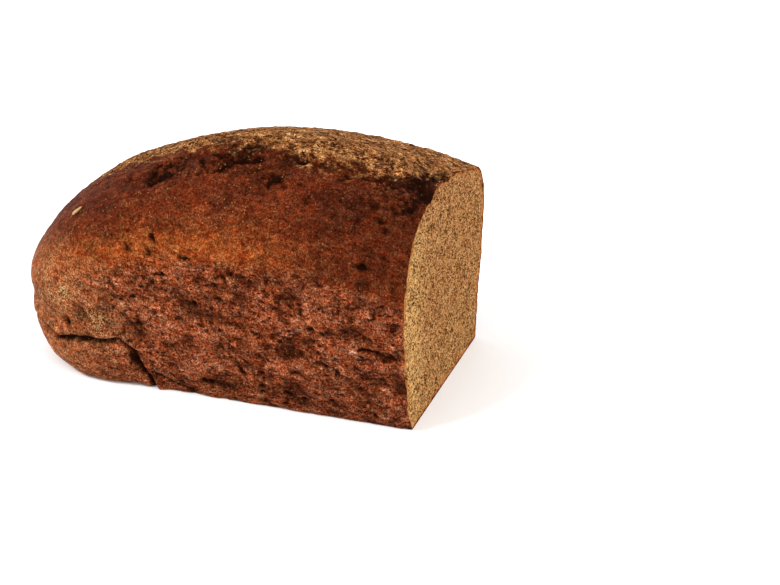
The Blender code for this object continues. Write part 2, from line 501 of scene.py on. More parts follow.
def far_dents():
    """The far side's dents, about as many as the near side's and a little shallower."""
    for _ in range(FAR_DENTS):
        where = RANDOM.uniform((-0.07, 0.008), (0.089, 0.075))
        length = RANDOM.uniform(0.003, 0.012)
        width = length * RANDOM.uniform(0.2, 0.7)
        tilt = RANDOM.normal(0, 20)
        yield where, length, width, tilt, RANDOM.uniform(0.0008, 0.0018)


def burrs(grid):
    """How far the crumbs of crust stand out."""
    stands_out = np.zeros(grid.shape[:2])
    for place, reach, height in BURRS:
        gap = np.linalg.norm(grid - np.array(place), axis=-1)
        stands_out += height * bell(gap, 0, reach)
    return stands_out


def torn_rim(grid):
    """How far the crust stands out where the knife tore it, along the rim of the cut."""
    torn = np.maximum(noise(grid, *TORN_CRUST), 0)
    return TORN_RIM * ramp(grid[..., 0], *TORN_RIM_X) * torn


def placed_dents(grid, normals):
    """Depth of the dents, cracks and pleats that have places of their own."""
    depth = np.zeros(grid.shape[:2])
    on_side = (normals[..., 1] < -0.2) & (grid[..., 1] < 0)
    on_far = (normals[..., 1] > 0.2) & (normals[..., 2] < 0.5)
    on_crown = normals[..., 2] > 0.3
    side_places = grid[on_side][:, [0, 2]]
    depth[on_side] = deepest(side_places, SIDE_DENTS)
    for path in PLEATS:
        pleat = PLEAT_DEPTH * bell(distance_to_path(side_places, path), 0, PLEAT_WIDTH)
        depth[on_side] = np.maximum(depth[on_side], pleat)
    depth[on_far] = deepest(grid[on_far][:, [0, 2]], far_dents())
    crown = deepest(grid[on_crown][:, :2], CROWN_DENTS)
    depth[on_crown] = np.maximum(depth[on_crown], crown)
    return depth


def bowl(along, beside, tilt, half_length, half_width, deep):
    """Depth of a round hollow at places this far along and beside its middle."""
    long_way = along * math.cos(tilt) + beside * math.sin(tilt)
    short_way = beside * math.cos(tilt) - along * math.sin(tilt)
    out = (long_way / half_length) ** 2 + (short_way / half_width) ** 2
    return deep * np.clip(1 - out, 0, 1) ** 0.6


def scattered_pits(grid, normals, chance, count):
    """Depth of many small pits, strewn where chance is high and stretched along the loaf."""
    depth = np.zeros(grid.shape[:2])
    share = (chance / chance.sum()).ravel()
    columns, rows = np.divmod(RANDOM.choice(share.size, count, p=share), grid.shape[1])
    lengths = np.minimum(RANDOM.gamma(1.7, 0.0007, count) + SMALLEST_PIT, LARGEST_PIT)
    widths = lengths * RANDOM.uniform(0.4, 1.0, count)
    tilts = RANDOM.normal(0, 0.5, count)
    reach = PIT_WINDOW
    for column, row, length, width, tilt in zip(columns, rows, lengths, widths, tilts):
        low_column, low_row = max(column - reach, 0), max(row - reach, 0)
        patch = np.s_[low_column : column + reach + 1, low_row : row + reach + 1]
        normal = normals[column, row]
        level = np.cross(normal, (0.0, 0.0, 1.0))
        level /= np.linalg.norm(level) + 1e-9
        upward = np.cross(level, normal)
        gap = grid[patch] - grid[column, row]
        pit = bowl(gap @ level, gap @ upward, tilt, length / 2, width / 2, 0.45 * width)
        depth[patch] = np.maximum(depth[patch], pit)
    return depth


def folds(grid, normals):
    """How far the fold's roll stands out, and how deep the creases are."""
    on_side = (normals[..., 1] < -0.1) & (grid[..., 1] < 0)
    side = grid[on_side]
    places = side[:, [0, 2]] + wandering(side, FOLD_WOBBLE, 2) * 0.0009
    # The roll is everything under the crease, as far as the outline goes beyond the loaf.
    outline = FOLD + ((-0.0205, -0.02), (-0.12, -0.02), (-0.12, 0.0215))
    gap = distance_to_path(places, FOLD)
    rolled = inside(places, outline)
    roll = np.where(rolled, ROLL_STANDS_OUT * ramp(gap, 0, 0.004), 0)
    roll *= bell(places[:, 0], ROLL_X, ROLL_LENGTH)
    overhang = np.where(rolled, 0, FOLD_OVERHANG * bell(gap, 0.0028, 0.0022))
    crease = FOLD_DEPTH * bell(gap, 0, FOLD_WIDTH)
    small = distance_to_path(places, SMALL_FOLD)
    crease = np.maximum(crease, SMALL_FOLD_DEPTH * bell(small, 0, SMALL_FOLD_WIDTH))
    stands_out, deep = np.zeros(grid.shape[:2]), np.zeros(grid.shape[:2])
    stands_out[on_side] = roll + overhang
    deep[on_side] = crease
    return stands_out, deep


def scorched(grid, normals):
    """How dark the soft patches on the crown are."""
    scorch = np.zeros(grid.shape[:2])
    for (x, y), (reach_x, reach_y), strength in SCORCHES:
        spot = bell(grid[..., 0], x, reach_x) * bell(grid[..., 1], y, reach_y)
        scorch = np.maximum(scorch, strength * spot)
    return scorch * ramp(normals[..., 2], 0.0, 0.3)


def crust_zones(grid, normals):
    """Shares from 0 to 1 that say how each place of the crust baked, and where light and shade are
    painted on it.
    """
    x, y, z = np.moveaxis(grid, -1, 0)
    waver = 0.006 * layered(grid, WAVER, 3)
    wall = steep(normals)
    height = z / domed(np.full(x.shape, SHOULDER_HEIGHT), x) + waver * 6
    smooth_end = 1 - ramp(x + 2 * waver, *SMOOTH_END_X)
    rough = wall * (1 - ramp(height, *ROUGH_TO_SMOOTH)) * (1 - 0.75 * smooth_end)
    # The band is partly the crust's own orange and partly painted light, where the near shoulder
    # faces the lamp.
    band = bell(height, *BAND_HEIGHT) * (1 - 0.85 * ramp(x, *BAND_FADES_X))

    past_edge = y - np.interp(x, *np.transpose(TAN_EDGE))
    blurred = TAN_BLUR + TAN_MORE_BLUR * ramp(x, *TAN_BLUR_X)
    tan = ramp((past_edge + 0.9 * waver) / blurred, -1, 0.7)
    tan *= ramp(normals[..., 2], 0.25, 0.7)
    torn_top = bell(past_edge, *TORN_TOP_Y) * ramp(x + 2 * waver, *TORN_TOP_X)

    flank = ramp(x + waver, *FLANK_X) * ramp(z + waver, *FLANK_Z)
    # Painted shade: the near side darkens towards the base, and the flank share carries it.
    foot_shade = FOOT_SHADE * ramp(x, *FOOT_SHADE_X) * (1 - ramp(z, *FOOT_SHADE_Z))
    high_flour = bell(x, *HIGH_FLOUR_X) * bell(z, *HIGH_FLOUR_Z)
    low_flour = bell(x, *LOW_FLOUR_X) * bell(z, *LOW_FLOUR_Z)
    flour = wall * ramp(-y, 0.01, 0.03) * np.maximum(high_flour, 0.7 * low_flour)
    return {
        "pale_end": (1 - ramp(x + waver, *PALE_END_X)) * (1 - ramp(z, *PALE_END_Z)),
        "flank": np.maximum(flank, foot_shade) * ramp(-y, 0.0, 0.02),
        "rough": rough,
        "torn_top": torn_top * ramp(normals[..., 2], 0.1, 0.4),
        "band": np.clip(band * wall + 0.35 * band, 0, 1),
        "tan": tan,
        "scorch": scorched(grid, normals),
        "flour": flour * ramp(layered(grid, FLOUR_CLOUDS, 2), -0.45, 0.45),
    }


def crust_relief(grid, rough, tan, scorch, torn_top):
    """How high the lumps, fibres and grain of the crust stand."""
    lumps = layered(grid * np.array([0.62, 1.0, 1.0]), LUMPS, 3)
    fibres = noise(grid * np.array([0.45, 1.0, 1.25]), *FIBRES)
    grain = noise(grid, *GRAIN)
    uneven = 0.93 * rough + 0.3 * tan + 0.8 * scorch + 0.62 * torn_top
    relief = (SMOOTH_LUMPS + LUMPS_HIGH * np.minimum(uneven, MOST_UNEVEN)) * lumps
    fibrous = SMOOTH_FIBRES + ROUGH_FIBRES * rough + TAN_FIBRES * tan + SCORCHED_FIBRES * scorch
    relief += fibrous * fibres
    relief += (SMOOTH_GRAIN + ROUGH_GRAIN * rough + TAN_GRAIN * tan) * grain
    return relief


def foot_tuck(grid, normals):
    """How far the crust draws in, in x and y, so that its foot is rounded."""
    x, y, z = np.moveaxis(grid, -1, 0)
    on_roll = (1 - ramp(x, *ROLL_RIGHT_END)) * ramp(-y, 0.005, 0.025)
    foot = FOOT_RADIUS + ROLL_FOOT * on_roll
    rise = np.minimum(z, foot)
    tuck = foot - np.sqrt(foot**2 - (foot - rise) ** 2)
    level = normals[..., :2] / (np.linalg.norm(normals[..., :2], axis=-1, keepdims=True) + 1e-9)
    return tuck[..., None] * level


def baked_crust():
    """The crust's points, with everything that baking did to its surface, and its attributes."""
    grid = crust_grid()
    normals = outward_normals(grid)
    zones = crust_zones(grid, normals)
    rough, tan, scorch = zones["rough"], zones["tan"], zones["scorch"]
    torn_top = zones.pop("torn_top")
    waves = 0.0005 * layered(grid, BROAD_WAVES, 2) + slumps(grid, normals)
    relief = crust_relief(grid, rough, tan, scorch, torn_top)

    chance = 0.03 + 1.0 * rough + 0.7 * tan + 5.0 * scorch + 0.5 * torn_top
    chance[:, -1] = 0
    rough_places = ragged(grid)
    pits = scattered_pits(rough_places, normals, chance, CRUST_PITS)
    dents = placed_dents(rough_places, normals)
    bursts, burnt = burnt_cracks(rough_places, normals)
    stands_out, creases = folds(grid, normals)
    cracks = winding_cracks(grid, rough)

    held_by_floor = 0.35 + 0.65 * ramp(grid[..., 2], 0, 0.006)
    hollow = np.maximum.reduce([pits, dents, bursts, cracks]) * held_by_floor
    hollow = np.maximum(hollow, creases)
    stands_out += burrs(grid) + torn_rim(grid)
    move = (waves + relief) * held_by_floor + stands_out - hollow
    crust = grid + move[..., None] * normals
    crust[..., :2] -= foot_tuck(grid, normals)

    # The cut stays flat, the base stays on the floor, and the ridge's points stay together.
    crust[[0, -1], :, 0] = CUT_X
    crust[:, 1:, 2] = np.maximum(crust[:, 1:, 2], 0.0002)
    crust[:, 0, 2] = 0.0
    join_ridge(crust)

    values = dict(zones, burnt=burnt)
    # The crust material reads the cavity and relief attributes to paint shade into hollows and
    # highlight onto raised crust.
    values["cavity"] = np.clip(hollow / FULL_CAVITY, 0, 1) ** 1.2
    values["relief"] = np.clip(relief / FULL_RELIEF, -1, 1)
    return crust, values


# ---- sheets of triangles


def filled(outline, spacing, jitter):
    """Triangles that fill a flat outline. Gives their points, the outline's first, and corners."""
    low, high = outline.min(0), outline.max(0)
    rows = np.arange(low[1], high[1], spacing * math.sqrt(3) / 2)
    columns = np.arange(low[0], high[0], spacing)
    points = np.array([(x + spacing / 2 * (i % 2), y) for i, y in enumerate(rows) for x in columns])
    points += RANDOM.uniform(-jitter, jitter, points.shape) * spacing
    points = points[inside(points, outline)]
    closed = np.vstack([outline, outline[:1]])
    points = points[distance_to_path(points, closed) > spacing * 0.6]
    both = np.vstack([outline, points])
    in_mm = [Vector(point * 1000) for point in both]
    found = delaunay_2d_cdt(in_mm, [], [list(range(len(outline)))], 1, 1e-6)
    first = [sources[0] for sources in found[3]]
    corners = np.array([[first[i] for i in face] for face in found[2]])
    return both, corners


def crumb_pores(points, from_rim):
    """Depth of the round pores on the face of the cut."""
    depth = np.zeros(len(points))
    inner = np.flatnonzero(from_rim > 0.0012)
    centres = points[RANDOM.choice(inner, CRUMB_PORES)]
    tall = RANDOM.gamma(1.3, 0.00022, CRUMB_PORES) + SMALLEST_PORE
    wide = tall * RANDOM.uniform(0.6, 1.5, CRUMB_PORES)
    lean = RANDOM.normal(0, 0.6, CRUMB_PORES)
    order = np.argsort(points[:, 1])
    sorted_z = points[order, 1]
    for (y, z), height, width, tilt in zip(centres, tall, wide, lean):
        reach = max(height, width)
        first, last = np.searchsorted(sorted_z, (z - reach, z + reach))
        near = order[first:last]
        across, upward = points[near, 0] - y, points[near, 1] - z
        pore = bowl(upward, across, tilt, height, width, 0.9 * min(width, height))
        depth[near] = np.maximum(depth[near], pore)
    return depth


def crumb_sheet(outline):
    """The face of the cut: its points in space, corners and attributes, the outline's first."""
    flat, corners = filled(outline, CRUMB_SPACING, 0.22)
    y, z = flat.T
    from_rim = distance_to_path(flat, np.vstack([outline, outline[:1]]))
    spread = np.stack([0 * y, y, z], -1)
    pores = crumb_pores(flat, from_rim)
    uneven = 0.00018 * noise(spread, *CRUMB_WEAVE)
    hollow = pores + uneven + 0.0002 * layered(spread, CRUMB_SAG, 3) + 0.00025
    hollow *= ramp(from_rim, 0, 0.001)
    hollow[: len(outline)] = 0
    points = np.column_stack([CUT_X - hollow, flat])
    beside_wall = bell(y, -HALF_BASE, 0.008)
    thickness = CRUST_THICKNESS * (1 + 1.4 * beside_wall * ramp(z, 0.0, 0.02))
    pale_side, pale_foot = bell(y, -HALF_BASE, 0.014), 0.3 * (1 - ramp(z, 0, 0.045))
    values = {
        "pore": np.clip(pores / FULL_PORE, 0, 1),
        "crusts_in": from_rim / thickness,
        "pale": np.maximum(pale_side, pale_foot),
    }
    return points, corners, values


def base_sheet(outline):
    """The base, a little uneven so that it isn't a plane: the same things as the crumb's sheet."""
    flat, corners = filled(outline, BASE_SPACING, 0.2)
    points = np.column_stack([flat, np.zeros(len(flat))])
    arch = 0.0003 * (1 + layered(points, BASE_ARCH, 2))
    arch[: len(outline)] = 0
    points[:, 2] = np.maximum(arch, 0)
    return points, corners[:, ::-1], {"rough": np.full(len(flat), 0.5)}


# ---- one closed mesh


def linked(name, data):
    """A new object of a mesh, camera or lamp, put into the scene."""
    thing = bpy.data.objects.new(name, data)
    bpy.context.collection.objects.link(thing)
    return thing


def lengths_along(points):
    """How far along a path each of its points is."""
    steps = np.linalg.norm(np.diff(points, axis=0), axis=1)
    return np.concatenate([[0], np.cumsum(steps)])


class Loaf:
    """Gathers the sheets' points, faces, places on the maps and attributes into one mesh."""

    def __init__(self):
        self.points, self.faces, self.maps, self.materials = [], [], [], []
        self.values = {}
        self.count = 0

    def add_points(self, points, values):
        """Adds points with their attributes, and gives their numbers."""
        numbers = np.arange(self.count, self.count + len(points))
        self.points.append(points)
        self.count += len(points)
        for name, amounts in values.items():
            self.values.setdefault(name, []).append((numbers, amounts))
        return numbers

    def add_face(self, numbers, on_map, material):
        self.faces.append([int(number) for number in numbers])
        self.maps.extend(on_map)
        self.materials.append(material)

    def object(self, name, materials, sharp):
        used, faces_flat = np.unique(np.concatenate(self.faces), return_inverse=True)
        splits = np.cumsum([len(face) for face in self.faces])[:-1]
        faces = [face.tolist() for face in np.split(faces_flat, splits)]
        mesh = bpy.data.meshes.new(name)
        mesh.from_pydata(np.concatenate(self.points)[used].tolist(), [], faces)
        for attribute, parts in self.values.items():
            amounts = np.zeros(self.count)
            for numbers, some in parts:
                amounts[numbers] = some
            layer = mesh.attributes.new(attribute, "FLOAT", "POINT")
            layer.data.foreach_set("value", amounts[used])
        mesh.uv_layers.new(name="OFBake").uv.foreach_set("vector", np.ravel(self.maps))
        mesh.polygons.foreach_set("material_index", self.materials)
        for material in materials:
            mesh.materials.append(material)
        mesh.shade_smooth()
        on_edge = np.isin(used, sharp)
        ends = np.empty(len(mesh.edges) * 2, int)
        mesh.edges.foreach_get("vertices", ends)
        both = on_edge[ends.reshape(-1, 2)].all(1)
        mesh.attributes.new("sharp_edge", "BOOLEAN", "EDGE").data.foreach_set("value", both)
        mesh.validate()
        return linked(name, mesh)


def add_crust(loaf, crust, values):
    """Adds the crust, and gives the numbers of its points. The ridge's points are shared."""
    columns, rows = crust.shape[:2]
    flat_values = {name: amounts.ravel() for name, amounts in values.items()}
    ids = loaf.add_points(crust.reshape(-1, 3), flat_values).reshape(columns, rows)
    join_ridge(ids)
    smooth = crust_grid()
    across = lengths_along(smooth[:, rows // 2])
    upward = lengths_along(smooth[columns // 4])
    middle = columns // 2
    for column in range(columns - 1):
        on_far_strip = column >= middle
        left = MAP_GAP - across[middle] * on_far_strip
        bottom = MAP_GAP + (upward[-1] + MAP_GAP) * on_far_strip
        for row in range(rows - 1):
            corners = [(column, row), (column, row + 1), (column + 1, row + 1), (column + 1, row)]
            if ids[corners[1]] == ids[corners[2]]:
                del corners[2]
            on_map = [
                ((left + across[c]) / MAP_SIDE, (bottom + upward[r]) / MAP_SIDE) for c, r in corners
            ]
            loaf.add_face([ids[corner] for corner in corners], on_map, 0)
    return ids, across[middle] + 2 * MAP_GAP


def add_sheet(loaf, sheet, rim, corner, along_map, material):
    """Adds a flat sheet whose first points are the rim's, laid on the maps from a corner."""
    points, faces, values = sheet
    inner = {name: amounts[len(rim) :] for name, amounts in values.items()}
    numbers = np.concatenate([rim, loaf.add_points(points[len(rim) :], inner)])
    flat = points[:, along_map]
    on_map = (flat - flat.min(0) + np.array(corner)) / MAP_SIDE
    for face in faces:
        loaf.add_face(numbers[face], on_map[face], material)
    return corner[1] + np.ptp(flat[:, 1]) + MAP_GAP


def make_loaf():
    """The loaf's object, and its crust's points, on which the seed is laid."""
    loaf = Loaf()
    crust, values = baked_crust()
    ids, right_of_crust = add_crust(loaf, crust, values)

    near, far = crust[0, 0], crust[-1, 0]
    line_count = int((far[1] - near[1]) / BASE_EDGE_STEP)
    line = np.linspace(near, far, line_count + 1)[1:-1]
    line_ids = loaf.add_points(line, {})

    cut_rim = np.concatenate([ids[:1, 0], line_ids, ids[-1, :], ids[0, -2:0:-1]])
    base_rim = np.concatenate([ids[::-1, 0], line_ids])
    where = np.concatenate(loaf.points)
    cut = crumb_sheet(where[cut_rim][:, 1:])
    top = add_sheet(loaf, cut, cut_rim, (right_of_crust, MAP_GAP), [1, 2], 1)
    base = base_sheet(where[base_rim][:, :2])
    add_sheet(loaf, base, base_rim, (right_of_crust, top), [1, 0], 0)
    sharp = np.concatenate([cut_rim, base_rim])
    return loaf.object("baked_loaf", [crust_material(), crumb_material()], sharp), crust


# ---- materials


class Look:
    """A material's nodes, with short names for the ones that these materials use."""

    def __init__(self, name):
        self.material = bpy.data.materials.new(name)
        self.material.use_nodes = True
        self.tree = self.material.node_tree
        self.shader = self.tree.nodes["Principled BSDF"]
        self.place = self.add("ShaderNodeTexCoord", {}, "Object")
        self.colour = None

    def add(self, kind, inputs, output=0, **settings):
        """Adds a node, fills its inputs, and gives one of its outputs."""
        node = self.tree.nodes.new(kind)
        for name, value in settings.items():
            setattr(node, name, value)
        for name, value in inputs.items():
            self.fill(node.inputs[name], value)
        return node.outputs[output]

    def fill(self, socket, value):
        if isinstance(value, bpy.types.NodeSocket):
            self.tree.links.new(value, socket)
        else:
            socket.default_value = (*value, 1) if socket.type == "RGBA" else value

    def read(self, name):
        return self.add("ShaderNodeAttribute", {}, "Fac", attribute_name=name)

    def math(self, operation, first, second):
        return self.add("ShaderNodeMath", {0: first, 1: second}, operation=operation)

    def times(self, first, second):
        return self.math("MULTIPLY", first, second)

    def stretched(self, *scale):
        return self.add("ShaderNodeMapping", {"Vector": self.place, "Scale": scale})

    def noise(self, size, detail=2.0, roughness=0.5, place=None):
        """Noise from 0 to 1, whose patches are about size metres across."""
        inputs = {"Vector": place or self.place, "Scale": 1 / size}
        inputs.update(Detail=detail, Roughness=roughness)
        return self.add("ShaderNodeTexNoise", inputs)

    def fit(self, value, low, high, to_low=0.0, to_high=1.0):
        """Takes low to to_low and high to to_high, and holds what is beyond them."""
        inputs = dict(enumerate((value, low, high, to_low, to_high)))
        return self.add("ShaderNodeMapRange", inputs)

    def mix(self, share, first, second, mode="MIX"):
        inputs = {"Factor": share, 6: first, 7: second}
        return self.add("ShaderNodeMix", inputs, 2, data_type="RGBA", blend_type=mode)

    def lay(self, share, colour, mode="MIX"):
        """Mixes a share of another colour into what is painted so far."""
        self.colour = self.mix(share, self.colour, colour, mode)

    def dots(self, size, radius, share, place=None):
        """Small round spots, 1 in their middle, in a share of the cells that are size across."""
        inputs = {"Vector": place or self.place, "Scale": 1 / size}
        distance = self.add("ShaderNodeTexVoronoi", inputs, "Distance")
        chance = self.add("ShaderNodeSeparateColor", {0: distance.node.outputs["Color"]})
        spot = self.fit(distance, radius * 0.5, radius, 1, 0)
        return self.times(spot, self.math("LESS_THAN", chance, share))

    def raise_by(self, height, distance, before=None):
        """A bump whose height of 1 stands distance metres proud."""
        inputs = {"Distance": distance, "Height": height}
        if before:
            inputs["Normal"] = before
        return self.add("ShaderNodeBump", inputs)

    def finish(self, roughness, normal, specular):
        inputs = {"Base Color": self.colour, "Roughness": roughness, "Normal": normal}
        inputs["Specular IOR Level"] = specular
        for name, value in inputs.items():
            self.fill(self.shader.inputs[name], value)
        return self.material


UPPER_SIDE = (0.123, 0.022, 0.0054)
UPPER_SIDE_DARK = (0.076, 0.0138, 0.0044)
FLANK = (0.047, 0.0086, 0.0024)
# Partly the crust's own orange, partly painted light on the shoulder.
ORANGE_BAND = (0.215, 0.046, 0.009)
ROUGH_SIDE = (0.228, 0.053, 0.0172)
ROUGH_CREVICE_SHADE = (0.082, 0.018, 0.0065)
PALE_END = (0.295, 0.088, 0.028)
TAN_CROWN = (0.27, 0.094, 0.024)
TAN_HOLLOW_SHADE = (0.04, 0.008, 0.0014)
SCORCHED = (0.009, 0.002, 0.0005)
# Painted shade for the crust's hollows, pits and low relief.
PAINTED_HOLLOW_SHADE = (0.013, 0.0022, 0.0004)
FLOUR = (0.72, 0.45, 0.19)
GOLDEN_GLINT = (0.56, 0.27, 0.08)

CRUMB = (0.345, 0.136, 0.037)
CRUMB_DARK = (0.108, 0.028, 0.003)
CRUMB_LIGHT = (0.565, 0.302, 0.122)
CRUMB_YELLOW = (0.76, 0.47, 0.165)
RIM_DARK = (0.13, 0.026, 0.006)
RIM_ORANGE = (0.38, 0.12, 0.026)
# What a light or dark fleck multiplies the colour under it by: light ones make it less red. The
# light one is also the painted highlight on the crust's raised relief.
LIGHT_FLECK_AND_HIGHLIGHT = (1.58, 2.03, 2.6)
DARK_FLECK = (0.4, 0.24, 0.15)
# The crust and crumb wander between these two tints of their colours.
REDDER = (1.18, 0.78, 0.52)
GOLDENER = (0.95, 1.24, 1.36)

SEED_PALE = (0.52, 0.34, 0.14)
SEED_BROWN = (0.3, 0.15, 0.045)
FLOOR_WARM = (0.9, 0.9, 0.89)
FLOOR_WHITE = (0.92, 0.92, 0.92)

BREAD_SPECULAR = 0.015
# How strong flecks and pits are on smooth crust, where they are 1 on rough crust.
SMOOTH_TEXTURE = 0.78


def ragged_edge(look, tan, *wanders):
    """The tan share with its edge broken up by noise. Places far from the edge stay as they are."""
    on_edge = look.fit(tan, 0.0, 0.2)
    for wander in wanders:
        shift = look.times(on_edge, look.fit(wander, 0.3, 0.7, -0.45, 0.45))
        tan = look.math("ADD", tan, shift)
    return look.fit(tan, 0.25, 0.75)


def lay_flecks(look, fields, textured):
    """Light and dark flecks from several fields of noise, each with its own strength."""
    for flecks, strength in fields:
        for low, high, fleck in ((0.51, 0.61, LIGHT_FLECK_AND_HIGHLIGHT), (0.49, 0.38, DARK_FLECK)):
            share = look.times(look.fit(flecks, low, high, 0, strength), textured)
            look.lay(share, fleck, "MULTIPLY")


def crust_material():
    look = Look("rye_crust")
    rough, flank = look.read("rough"), look.read("flank")
    lying = look.stretched(0.5, 0.8, 1.0)
    patches = look.noise(0.016, 4, 0.6)
    mottle = look.noise(0.0045, 4, 0.65)
    grain = look.noise(0.0011, 4, 0.75)
    fine = look.noise(0.0006, 2, 0.8)
    fibres = look.noise(0.0022, 4, 0.65, lying)
    tint = look.noise(0.0019, 4, 0.8, lying)
    leather = look.noise(0.0065, 3, 0.65, lying)
    broken = look.noise(0.0027, 6, 0.8)
    tan = ragged_edge(look, look.read("tan"), mottle, fibres)

    look.colour = look.mix(look.fit(patches, 0.38, 0.62), UPPER_SIDE, UPPER_SIDE_DARK)
    # The orange band: partly the crust's colour, partly painted light on the shoulder.
    look.lay(look.read("band"), ORANGE_BAND)
    look.lay(look.times(rough, 0.85), ROUGH_SIDE)
    # Painted shade: dark crevices between the leathery lumps of the rough crust, drawn from noise.
    look.lay(look.times(rough, look.fit(leather, 0.5, 0.38, 0, 0.7)), ROUGH_CREVICE_SHADE)
    # The flank share also lays painted shade at the foot of the near side.
    look.lay(look.times(flank, 0.6), FLANK)
    look.lay(look.read("pale_end"), PALE_END)
    look.lay(tan, TAN_CROWN)
    # Painted shade in the tan crown's hollows, where the bump of its fibres and grain is low.
    in_fibres = look.fit(look.math("ADD", fibres, grain), 1.0, 0.86, 0, 0.85)
    look.lay(look.times(tan, in_fibres), TAN_HOLLOW_SHADE)

    textured = look.fit(look.math("MAXIMUM", rough, tan), 0, 1, SMOOTH_TEXTURE, 1.0)
    look.lay(1.0, look.fit(mottle, 0.3, 0.7, 0.6, 1.4), "MULTIPLY")
    tinted = look.mix(look.fit(tint, 0.38, 0.62), REDDER, GOLDENER)
    look.lay(look.fit(tan, 0, 1, 1.0, 0.4), tinted, "MULTIPLY")
    lay_flecks(look, ((fibres, 0.55), (grain, 1.0), (fine, 1.0)), textured)

    # Painted shade on the crust's low relief, and painted highlight on its raised relief.
    relief = look.read("relief")
    look.lay(look.fit(relief, -0.05, -0.8, 0, 0.75), PAINTED_HOLLOW_SHADE)
    look.lay(look.fit(relief, 0.1, 0.8, 0, 0.5), LIGHT_FLECK_AND_HIGHLIGHT, "MULTIPLY")
    # Painted shade in the pits, dents, cracks and creases moved into the mesh.
    hollow = look.times(look.read("cavity"), look.fit(mottle, 0.3, 0.6, 1.15, 0.7))
    look.lay(look.fit(hollow, 0.12, 0.75, 0, 0.97), PAINTED_HOLLOW_SHADE)
    # Small pits of the material's own: painted shade in them, and pressed in by the bump.
    coarse_pits = look.dots(0.0024, 0.34, 0.4, lying)
    fine_pits = look.dots(0.0014, 0.34, 0.45, lying)
    pits = look.math("MAXIMUM", coarse_pits, fine_pits)
    pits = look.times(pits, look.fit(textured, SMOOTH_TEXTURE, 1.0, 0.25, 0.85))
    look.lay(pits, PAINTED_HOLLOW_SHADE)
    scorch = look.math("MAXIMUM", look.read("scorch"), look.read("burnt"))
    scorch = look.times(scorch, look.fit(broken, 0.43, 0.54, 1.6, 0.02))
    look.lay(look.fit(scorch, 0.1, 0.8, 0, 0.97), SCORCHED)

    dust = look.fit(look.math("ADD", grain, fine), 1.0, 1.14)
    look.lay(look.times(dust, look.read("flour")), FLOUR)
    # Painted glints: small golden specks over the crust, fewer on the flank.
    shown = look.fit(flank, 0.0, 0.8, 0.45, 0.15)
    look.lay(look.times(look.dots(0.0012, 0.32, 0.12), shown), GOLDEN_GLINT)

    normal = look.raise_by(fibres, 0.0018)
    normal = look.raise_by(grain, 0.001, normal)
    normal = look.raise_by(look.times(pits, -1.0), 0.0006, normal)
    roughness = look.fit(textured, SMOOTH_TEXTURE, 1.0, 0.55, 0.75)
    return look.finish(roughness, normal, BREAD_SPECULAR)


def crumb_material():
    look = Look("rye_crumb")
    patches = look.noise(0.012, 3, 0.6)
    mottle = look.noise(0.003, 3, 0.6)
    grain = look.noise(0.001, 3, 0.75)
    fine = look.noise(0.0006, 2, 0.8)
    tint = look.noise(0.001, 3, 0.8)
    small_pores = look.dots(0.0013, 0.46, 0.7)
    bran = look.dots(0.003, 0.22, 0.3)

    look.colour = look.mix(look.fit(patches, 0.35, 0.65, 0, 0.5), CRUMB, CRUMB_LIGHT)
    look.lay(look.read("pale"), CRUMB_YELLOW)
    look.lay(look.fit(mottle, 0.5, 0.35, 0, 0.35), CRUMB_DARK)
    look.lay(look.fit(grain, 0.5, 0.62, 0, 0.8), CRUMB_LIGHT)
    look.lay(look.fit(grain, 0.48, 0.36, 0, 0.9), CRUMB_DARK)
    tinted = look.mix(look.fit(tint, 0.4, 0.6), REDDER, GOLDENER)
    look.lay(1.0, tinted, "MULTIPLY")
    look.lay(look.fit(fine, 0.51, 0.6, 0, 0.9), CRUMB_LIGHT)
    look.lay(look.fit(fine, 0.49, 0.4, 0, 1.0), CRUMB_DARK)
    # Painted shade in the crumb's pores: the material's small ones, and the deeper ones moved into
    # the mesh.
    look.lay(look.times(small_pores, 0.85), CRUMB_DARK)
    in_pore = look.times(look.read("pore"), look.fit(grain, 0.38, 0.6, 1.0, 0.35))
    look.lay(in_pore, CRUMB_DARK)
    look.lay(look.times(bran, 0.6), RIM_DARK)

    wander = look.fit(mottle, 0.3, 0.7, -0.35, 0.35)
    crusts_in = look.math("ADD", look.read("crusts_in"), wander)
    in_rim = look.fit(crusts_in, 1.5, 0.8, 0, 0.95)
    in_rim = look.times(in_rim, look.fit(grain, 0.4, 0.6, 1.0, 0.45))
    look.lay(in_rim, RIM_ORANGE)
    look.lay(look.fit(crusts_in, 0.55, 0.3), RIM_DARK)

    normal = look.raise_by(grain, 0.001)
    normal = look.raise_by(look.times(small_pores, -1.0), 0.0008, normal)
    return look.finish(look.fit(grain, 0.3, 0.7, 0.95, 0.8), normal, BREAD_SPECULAR)


def seed_material():
    look = Look("pale_seed")
    streaks = look.noise(0.001, 3, 0.6, look.stretched(0.6, 1.0, 0.6))
    look.colour = look.mix(look.fit(streaks, 0.35, 0.7), SEED_PALE, SEED_BROWN)
    roughness = look.fit(streaks, 0.3, 0.7, 0.4, 0.6)
    return look.finish(roughness, look.raise_by(streaks, 0.0002), 0.4)


def floor_material():
    look = Look("white_floor")
    faint = look.noise(0.3, 2)
    look.colour = look.mix(faint, FLOOR_WARM, FLOOR_WHITE)
    return look.finish(0.8, look.raise_by(faint, 0.0001), 0.2)


# ---- the seed on the crust

SEED_LENGTH = 0.0054
SEED_WIDTH = 0.0031
SEED_THICKNESS = 0.0015
SEED_TAPER = 0.45
SEED_SLANT = math.radians(40)
SEED_TWIST = math.radians(-18)
SEED_RIB = 0.00012
SEED_RINGS = 27
SEED_SIDES = 28


